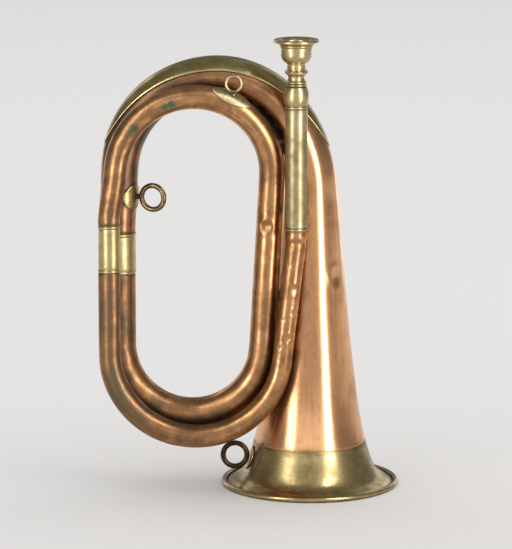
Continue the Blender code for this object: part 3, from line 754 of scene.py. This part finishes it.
def draped(name, surface, halfWidth, thickness, rows, metal, replaces, lip=0.0):
    # surface gives centre, outward and sideways directions and radius along the sheet, and
    # thickness its thickness there; the edge stays bare where the polishing cloth drags, and is
    # painted lighter as a highlight along it
    columns = sheet["columns"]
    rings, grain, rubbedHighlight = [], [], []
    for i in range(rows + 1):
        share = mix(sheet["tip"], 1 - sheet["tip"], i / rows)
        centre, out, side, radius = surface(share)
        wrap = max(halfWidth(share), sheet["leastWrap"])
        thick = thickness(share)
        edge = min(thick / 2 / radius, wrap * 0.45)
        section = []
        for k in range(columns + 1):  # across the top
            turn = mix(-wrap + edge, wrap - edge, k / columns)
            lipStart = wrap - sheet["lipWidth"] / radius - edge
            section.append((turn, thick + lip * smooth(abs(turn), lipStart, wrap - edge)))
        section += [(wrap - edge * a, thick * b) for a, b in sheet["edge"]]
        for k in range(5):  # back underneath
            section.append((mix(wrap - edge, -wrap + edge, k / 4), 0.0))
        section += [(-wrap + edge * a, thick * b) for a, b in reversed(sheet["edge"])]
        ring = []
        for turn, height in section:
            reach = out * math.cos(turn) + side * math.sin(turn)
            spot = centre + reach * radius
            lift = sheet["ripple"] * noise.noise(spot / sheet["rippleLength"])
            ring.append(centre + reach * (radius + height + lift))
            grain.append((radius * turn, height, share * 0.1))
            # the edge's film is thinned: bare worn metal and a painted highlight line
            bare = smooth(abs(turn), wrap - sheet["rubbedHighlightWidth"] / radius, wrap - edge)
            rubbedHighlight.append(sheet["rubbedHighlight"] * bare)
        rings.append(ring)
    thing = piece(name, rings, metal, replaces, closed=False, grain=grain, sharp=60.0)
    thing.data.attributes["tarnish"].data.foreach_set("value", rubbedHighlight)


def oval(width, power=0.75):
    return lambda share: width * max(0.0, 4 * share * (1 - share)) ** power


plateThickness = 0.0008
plateLift = 0.0002  # of a plate's underside over the metal it is soldered to
sunk = 0.0001  # how deep a post stands in what it is soldered to
guard = {"from": math.radians(165), "to": math.radians(19), "wrap": math.radians(65),
         "lift": (0.00005, 0.00045), "thickness": (0.0004, 0.0007)}  # at its tips, between


def guardBody(share):
    # 0 at the two tips, where it is filed down flush with the pipe, and 1 between them
    return smooth(min(share, 1 - share), 0.0, 0.22)


def plainSheet(share):
    return plateThickness


def guardSurface(share):
    centre, out, radius = backBowAt(mix(guard["from"], guard["to"], share))
    return centre, out, Vector((0, 1, 0)), radius + mix(*guard["lift"], guardBody(share))


draped("bowGuard", guardSurface, oval(guard["wrap"], 0.5),
       lambda share: mix(*guard["thickness"], guardBody(share)), 110,
       finish["hammeredBrass"], ["bow_guard"], lip=0.0001)

topPlate = {"angle": math.radians(64.1), "spread": math.radians(14.0),
            "lean": math.radians(38), "wrap": math.radians(41)}


def topPlateSurface(share):
    x, z, bend = coil["topBow"]
    angle = topPlate["angle"] + topPlate["spread"] * (1 - 2 * share)
    along = (math.pi - angle) / math.pi
    out, side = Vector((math.cos(angle), 0, math.sin(angle))), Vector((0, 1, 0))
    lean = topPlate["lean"]
    y = mix(leadpipe["leftY"], coil["rightY"], along ** coil["topEase"])
    facing = out * math.cos(lean) - side * math.sin(lean)
    across = side * math.cos(lean) + out * math.sin(lean)
    radius = mix(coil["startRadius"], coil["rightRadius"], along)
    return Vector((x, y, z)) + out * bend, facing, across, radius + plateLift


draped("topRingPlate", topPlateSurface, oval(topPlate["wrap"]), plainSheet, 40,
       finish["wipedBrass"], ["top_ring_plate"])

sidePlate = {"z": 0.1897, "half": 0.0083, "turn": math.radians(34), "wrap": math.radians(44),
             "ringTurn": math.radians(22)}


def sidePlateSurface(share):
    turn = sidePlate["turn"]
    out = Vector((math.cos(turn), -math.sin(turn), 0))
    z = mix(sidePlate["z"] - sidePlate["half"], sidePlate["z"] + sidePlate["half"], share)
    foot = Vector((coil["lowBow"][0] - coil["lowBow"][2], coil["backY"], coil["joinZ"]))
    spring = backBowAt(math.pi)[0]
    along = (z - foot.z) / (spring.z - foot.z)
    radius = mix(coil["backRadius"], backBow["radii"][0], along) + plateLift
    return foot.lerp(spring, along), out, Vector((out.y, -out.x, 0)), radius


draped("sideRingPlate", sidePlateSurface, oval(sidePlate["wrap"]), plainSheet, 32,
       finish["spunBrass"], ["side_ring_plate"])

bellPlate = {"low": 0.0110, "high": 0.0260, "turn": math.radians(12), "wrap": math.radians(7)}


def bellPlateSurface(share):
    turn = bellPlate["turn"]
    out = Vector((-math.cos(turn), -math.sin(turn), 0))
    z = mix(bellPlate["low"], bellPlate["high"], share)
    lift = plateLift * math.sqrt(1 + bellSlope(z) ** 2)
    return Vector((bell["x"], 0, z)), out, Vector((out.y, -out.x, 0)), bellRadius(z) + lift


draped("bellRingPlate", bellPlateSurface, oval(bellPlate["wrap"]), plainSheet, 32,
       finish["spunBrass"], ["bell_ring_plate"])
print("guard and plates made")


# Rings of thick wire, bent round and soldered shut

# two radii, how far wear goes in and out, and how much the wire stays inside its ring's box
wire = {"thick": 0.0017, "thin": 0.0009, "worn": 0.00006, "clear": 0.00002}


def wireRing(name, node, metal, wireRadius, turn=0.0):
    least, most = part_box(node)
    centre = (least + most) / 2
    major = (most.z - least.z) / 2 - wireRadius
    rings, grain = [], []
    count, sides = 96, 28
    for i in range(count):
        angle = tau * i / count
        out = Vector((math.cos(angle) * math.cos(turn), math.cos(angle) * math.sin(turn),
                      math.sin(angle)))
        over = Vector((-math.sin(turn), math.cos(turn), 0))
        thick = wireRadius + wire["worn"] * noise.noise(Vector((angle * 2, 0.4, 0)))
        thick -= wire["clear"]
        ring = []
        for c, s in circle(sides):
            ring.append(centre + out * (major + thick * c) + over * thick * s)
            grain.append((thick * c, thick * s, major * angle))
        rings.append(ring)
    return piece(name, rings, metal, [node], grain=grain)


def flaredPost(name, start, end, radius, flare, metal, replaces, sides=28):
    # a round post, wider at both feet where it is soldered on
    way = end - start
    along = way.normalized()
    turn = along.to_track_quat("Z", "Y").to_matrix()
    rings, grain = [], []
    count = 18
    for i in range(count + 1):
        share = i / count
        near = min(share, 1 - share) * way.length
        reach = radius + (flare - radius) * math.exp(-near / (0.45 * radius))
        lump = 1 + 0.03 * noise.noise(Vector((share * 6, radius * 900, 0.7)))
        ring = []
        for c, s in circle(sides):
            ring.append(start + way * share + turn @ Vector((c, s, 0)) * reach * lump)
            grain.append((reach * c, reach * s, share * way.length))
        rings.append(ring)
    piece(name, rings, metal, replaces, closed=False, grain=grain)


wireRing("sideRing", "side_ring", finish["ringBrass"], wire["thick"], -sidePlate["ringTurn"])
bellRingPiece = wireRing("bellRing", "bell_ring", finish["ringBrass"], wire["thick"])
wireRing("topRing", "top_ring", finish["wipedBrass"], wire["thin"])

centre, _, _, radius = sidePlateSurface(0.5)
out = Vector((math.cos(sidePlate["ringTurn"]), -math.sin(sidePlate["ringTurn"]), 0))
start = centre + out * (radius + plateThickness - sunk)
flaredPost("sideRingFoot", start, start + out * 0.0011, 0.00155, wire["thick"],
           finish["ringBrass"], ["side_ring_foot"])
least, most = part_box("top_ring_foot")
foot = (least + most) / 2
flaredPost("topRingFoot", Vector((foot.x, foot.y, least.z - sunk)),
           Vector((foot.x, foot.y, most.z + 2 * sunk)), wire["thin"], 0.00095,
           finish["yellowBrass"], ["top_ring_foot"])


# Stays between the mouthpiece pipe and the bell, and the solder that ties the pipes

def bellSideAt(height):
    if height < bell["topZ"]:
        return Vector((bell["x"], 0, height)), bellRadius(height)
    angle = math.asin(1 - (backBow["crestZ"] - height) / backBow["rise"][1])
    centre, _, radius = backBowAt(angle)
    return centre, radius


# heights of the two, their radius and the foot's, and how far from the pipe's axis they start
stay = {"upper": 0.2360, "lower": 0.1800, "radius": 0.0016, "foot": 0.0021, "fromAxis": 0.0072}

for node, name, height in (("leadpipe_stay_upper", "upperStay", stay["upper"]),
                           ("leadpipe_stay_lower", "lowerStay", stay["lower"])):
    centre, reach = bellSideAt(height)
    pipeAxis = Vector((*leadCentre, height))
    toward = (centre - pipeAxis).normalized()
    flaredPost(name, pipeAxis + toward * stay["fromAxis"], centre - toward * (reach + 2 * sunk),
               stay["radius"], stay["foot"], finish["ringBrass"], [node])


# share left off at both ends, how fast the ends fill out, girth and lumps
solderBead = {"ends": 0.02, "fullness": 3.2, "girth": 0.9, "lump": 0.16, "lumpLength": 0.0022}


def solderRun(name, node):
    # a bead run into the groove between two upright pipes, with soft ends
    least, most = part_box(node)
    centre = (least + most) / 2
    width = (most.x - least.x) / 2
    rings, grain = [], []
    count, sides = 44, 28
    for i in range(count + 1):
        share = i / count
        ends = solderBead["ends"]
        end = min(1.0, math.sin(math.pi * mix(ends, 1 - ends, share)) * solderBead["fullness"])
        height = mix(least.z, most.z, share)
        spot = Vector((centre.x * 300, 0, height / solderBead["lumpLength"]))
        girth = solderBead["girth"] + solderBead["lump"] * noise.noise(spot)
        reach = width * end ** 0.5 * min(1.0, girth)
        ring = []
        for c, s in circle(sides):
            ring.append(Vector((centre.x, centre.y, height)) + Vector((c, s, 0)) * reach)
            grain.append((reach * c, reach * s, height))
        rings.append(ring)
    piece(name, rings, finish["solder"], [node], closed=False, grain=grain)


for node, name in (("solder_ferrules", "solderFerrules"),
                   ("solder_left_pipes", "solderLeftPipes"),
                   ("solder_coil_bell", "solderCoilBell")):
    solderRun(name, node)
print("rings, stays and solder made")


# Where the film is thicker, where verdigris sits, and the dirt and painted shade between pieces

def tarnishOfPipes(point):
    # the left pipes are where it is carried: browner, with an olive tone below the ferrules
    left = smooth(-point.x, 0.045, 0.085)
    below = smooth(0.150 - point.z, 0.0, 0.04)
    corner = smooth(-point.x, 0.0, 0.04) * smooth(0.075 - point.z, 0.0, 0.03)
    return 0.12 * left + 0.08 * left * below + 0.12 * corner


def tarnishOfBell(point):
    # over the top bow and down the coil side the burnish has gone
    bow = smooth(point.z, 0.20, 0.25)
    coilSide = smooth(-point.x, 0.02, 0.06)
    return 0.24 * bow + 0.40 * coilSide * (1 - 0.5 * bow)


# round patches: x, y, z and reach of each in millimetres, and its strength
paintedShadePatches = [  # painted shade on the back bow, behind the front one, where it lies in deep shadow
    (-1.0, -13.0, 248.5, 5.0, 1.60), (6.3, -13.5, 243.2, 5.6, 1.60),
    (11.3, -13.5, 236.8, 6.2, 1.60), (16.3, -14.0, 228.5, 6.4, 1.60),
    (20.1, -14.0, 218.9, 6.0, 1.60), (22.5, -14.0, 208.0, 5.0, 1.60),
]
verdigris = [  # green, on top of the front bow
    (-44.5, -37.0, 252.3, 3.6, 0.70), (-48.0, -37.0, 251.3, 4.2, 0.85),
    (-51.8, -37.0, 250.0, 4.0, 0.75), (-55.5, -36.8, 248.0, 3.6, 0.45),
    (-71.3, -36.5, 236.4, 4.2, 0.62), (-74.2, -36.5, 234.0, 3.6, 0.50),
]


def patchesAt(point, patches, power):
    # the higher the power, the sharper a patch ends
    return max(strength * math.exp(-((point / mm - Vector((x, y, z))).length / reach) ** power)
               for x, y, z, reach, strength in patches)


paint(leadpipePiece, "tarnish", tarnishOfPipes)
paint(coilPiece, "tarnish", tarnishOfPipes)
paint(bellPiece, "tarnish", tarnishOfBell)
paint(coilPiece, "stain", lambda point: patchesAt(point, verdigris, 2))
# painted shade laid on the back bow behind the front bow
paint(bellPiece, "grimeAndShade", lambda point: patchesAt(point, paintedShadePatches, 4))
paint(bellRingPiece, "tarnish", lambda point: 0.30)  # nobody polishes this one

# share of dirt and painted shade on pieces that are wiped more often than the corners of the pipes
dirtAndShadeShare = {"bowGuard": 0.15, "topRingPlate": 0.3, "sideRingPlate": 0.5, "bellRingPlate": 0.4,
             "mouthpieceTurned": 0.25, "receiverCollar": 0.15, "receiverRing": 0.3,
             "sleeveEndRing": 0.3, "leadpipeSleeve": 0.35, "frontFerrule": 0.4,
             "backFerrule": 0.5, "garlandBand": 0.35}


# how far dirt and painted shade reach from where pieces meet, the share of that where the dirt is
# thick, and the wider share of the painted shade between the copper pipes, and how strong that
# shade is
dirtAndShade = {"reach": 0.0100, "thick": 0.18, "thin": 0.55, "shadeStrength": 0.75}


def gatherGrimeAndShade():
    # dirt and old polish stay where one piece comes close to another; between the copper pipes a
    # wider painted shade is laid too
    reach = dirtAndShade["reach"]
    pipes = {leadpipePiece, coilPiece, bellPiece}  # between these the painted shade reaches wider than the dirt
    trees, boxes = {}, {}
    for thing in made:
        points = [corner.co.copy() for corner in thing.data.vertices]
        trees[thing.name] = BVHTree.FromPolygons(
            points, [tuple(face.vertices) for face in thing.data.polygons])
        boxes[thing.name] = [(min(p[k] for p in points) - reach, max(p[k] for p in points) + reach)
                             for k in range(3)]
    for thing in made:
        slots = thing.data.attributes["grimeAndShade"].data
        for other in made:
            share = min(dirtAndShadeShare.get(thing.name, 1.0), dirtAndShadeShare.get(other.name, 1.0))
            mine, theirs = boxes[thing.name], boxes[other.name]
            apart = any(mine[k][1] < theirs[k][0] or theirs[k][1] < mine[k][0] for k in range(3))
            if other == thing or apart:
                continue
            for i, corner in enumerate(thing.data.vertices):
                place = corner.co
                if all(theirs[k][0] < place[k] < theirs[k][1] for k in range(3)):
                    found = trees[other.name].find_nearest(place, reach)
                    if found[0] is not None:
                        # close is the dirt where pieces meet; the wider term below is painted shade
                        # between the copper pipes
                        close = math.exp(-(found[3] / (dirtAndShade["thick"] * reach)) ** 2)
                        paintedShade = math.exp(-(found[3] / (dirtAndShade["thin"] * reach)) ** 2)
                        paintedShade *= dirtAndShade["shadeStrength"]
                        amount = max(close, paintedShade) if {thing, other} <= pipes else close
                        slots[i].value = max(slots[i].value, share * amount)


gatherGrimeAndShade()
print("film and grime laid")


# Floor, light and camera

studio = {
    "floor": "#dbd9d7", "floorSize": 14.0, "air": "#eceef0", "airStrength": 0.34,
    "ceiling": (7.0, 2.6, 190.0),  # size, height and power
    # azimuth to the right of the camera, distance, width, height, radiance
    "strips": [(43.0, 0.62, 0.11, 1.00, 14.0), (-39.0, 0.62, 0.20, 0.80, 5.0),
               (150.0, 0.90, 0.30, 0.90, 0.9), (-145.0, 0.90, 0.30, 0.90, 1.0)],
    # the two wide panels behind the camera: width, height, place and radiance
    "panels": [(3.4, 1.6, (0.0, -2.3, 2.2), 0.42), (6.0, 0.7, (0.0, -2.6, 0.58), 0.95)],
}


def floorMaterial():
    # sheet of matt white paper, slightly mottled
    material = bpy.data.materials.new("mattPaper")
    material.use_nodes = True
    tree = material.node_tree
    shader = tree.nodes["Principled BSDF"]
    shader.inputs["Roughness"].default_value = 1.0
    shader.inputs["Specular IOR Level"].default_value = 0.15
    place = addNode(tree, "TexCoord")
    fibres = addNode(tree, "TexNoise", {
        "Vector": place.outputs["Object"], "Scale": 1 / (4 * mm), "Detail": 3.0})
    colour = addNode(tree, "ValToRGB", {"Fac": fibres.outputs["Fac"]})
    setRamp(colour, [(0.3, "#d8d6d4"), (0.7, studio["floor"])])
    tree.links.new(colour.outputs["Color"], shader.inputs["Base Color"])
    return material


def makeFloor():
    size = studio["floorSize"]
    mesh = bpy.data.meshes.new("studioFloor")
    mesh.from_pydata([(-size, -size, 0), (size, -size, 0), (size, size, 0), (-size, size, 0)],
                     [], [(0, 1, 2, 3)])
    mesh.materials.append(floorMaterial())
    floor = bpy.data.objects.new("studioFloor", mesh)
    floor.location.z = -0.0002
    bpy.context.scene.collection.objects.link(floor)


def areaLight(name, width, height, power, location, target):
    light = bpy.data.lights.new(name, "AREA")
    light.shape = "RECTANGLE"
    light.size, light.size_y, light.energy = width, height, power
    lamp = bpy.data.objects.new(name, light)
    lamp.location = location
    lamp.rotation_euler = (target - location).to_track_quat("-Z", "Y").to_euler()
    lamp.visible_camera = False
    bpy.context.scene.collection.objects.link(lamp)
    return lamp


def makeLights():
    size, height, power = studio["ceiling"]
    ceiling = areaLight("ceilingSoftbox", size, size, power, Vector((0, 1.0, height)),
                        Vector((0, 1.0, 0)))
    ceiling.visible_glossy = False
    for i, (azimuth, away, width, tall, radiance) in enumerate(studio["strips"]):
        turn = math.radians(azimuth)
        spot = Vector((math.sin(turn) * away, -math.cos(turn) * away, tall / 2 + 0.01))
        strip = areaLight(f"stripSoftbox{i + 1}", width, tall, radiance * width * tall * math.pi,
                          spot, Vector((0, 0, spot.z)))
        strip.visible_diffuse = False
    for i, (width, tall, spot, radiance) in enumerate(studio["panels"]):
        panel = areaLight(f"frontPanel{i + 1}", width, tall, radiance * width * tall * math.pi,
                          Vector(spot), Vector((0, 0, 0.15)))
        panel.visible_diffuse = False
    world = bpy.data.worlds.new("studioAir")
    world.use_nodes = True
    background = world.node_tree.nodes["Background"]
    background.inputs["Color"].default_value = linear(studio["air"])
    background.inputs["Strength"].default_value = studio["airStrength"]
    bpy.context.scene.world = world


def makeCamera():
    # far back with a long lens, a little above the bugle and looking slightly down
    lens = {"focal": 253.1, "spot": (0.0050, -2.431, 0.597), "down": math.radians(10.725)}
    camera = bpy.data.cameras.new("viewCamera")
    camera.lens = lens["focal"]
    camera.sensor_width = 36.0
    camera.clip_end = 50.0
    eye = bpy.data.objects.new("viewCamera", camera)
    eye.location = lens["spot"]
    eye.rotation_euler = (math.pi / 2 - lens["down"], 0.0, 0.0)
    bpy.context.scene.collection.objects.link(eye)
    bpy.context.scene.camera = eye


makeFloor()
makeLights()
makeCamera()
bpy.context.scene.view_settings.view_transform = "Standard"
print("stage, lights and camera set")
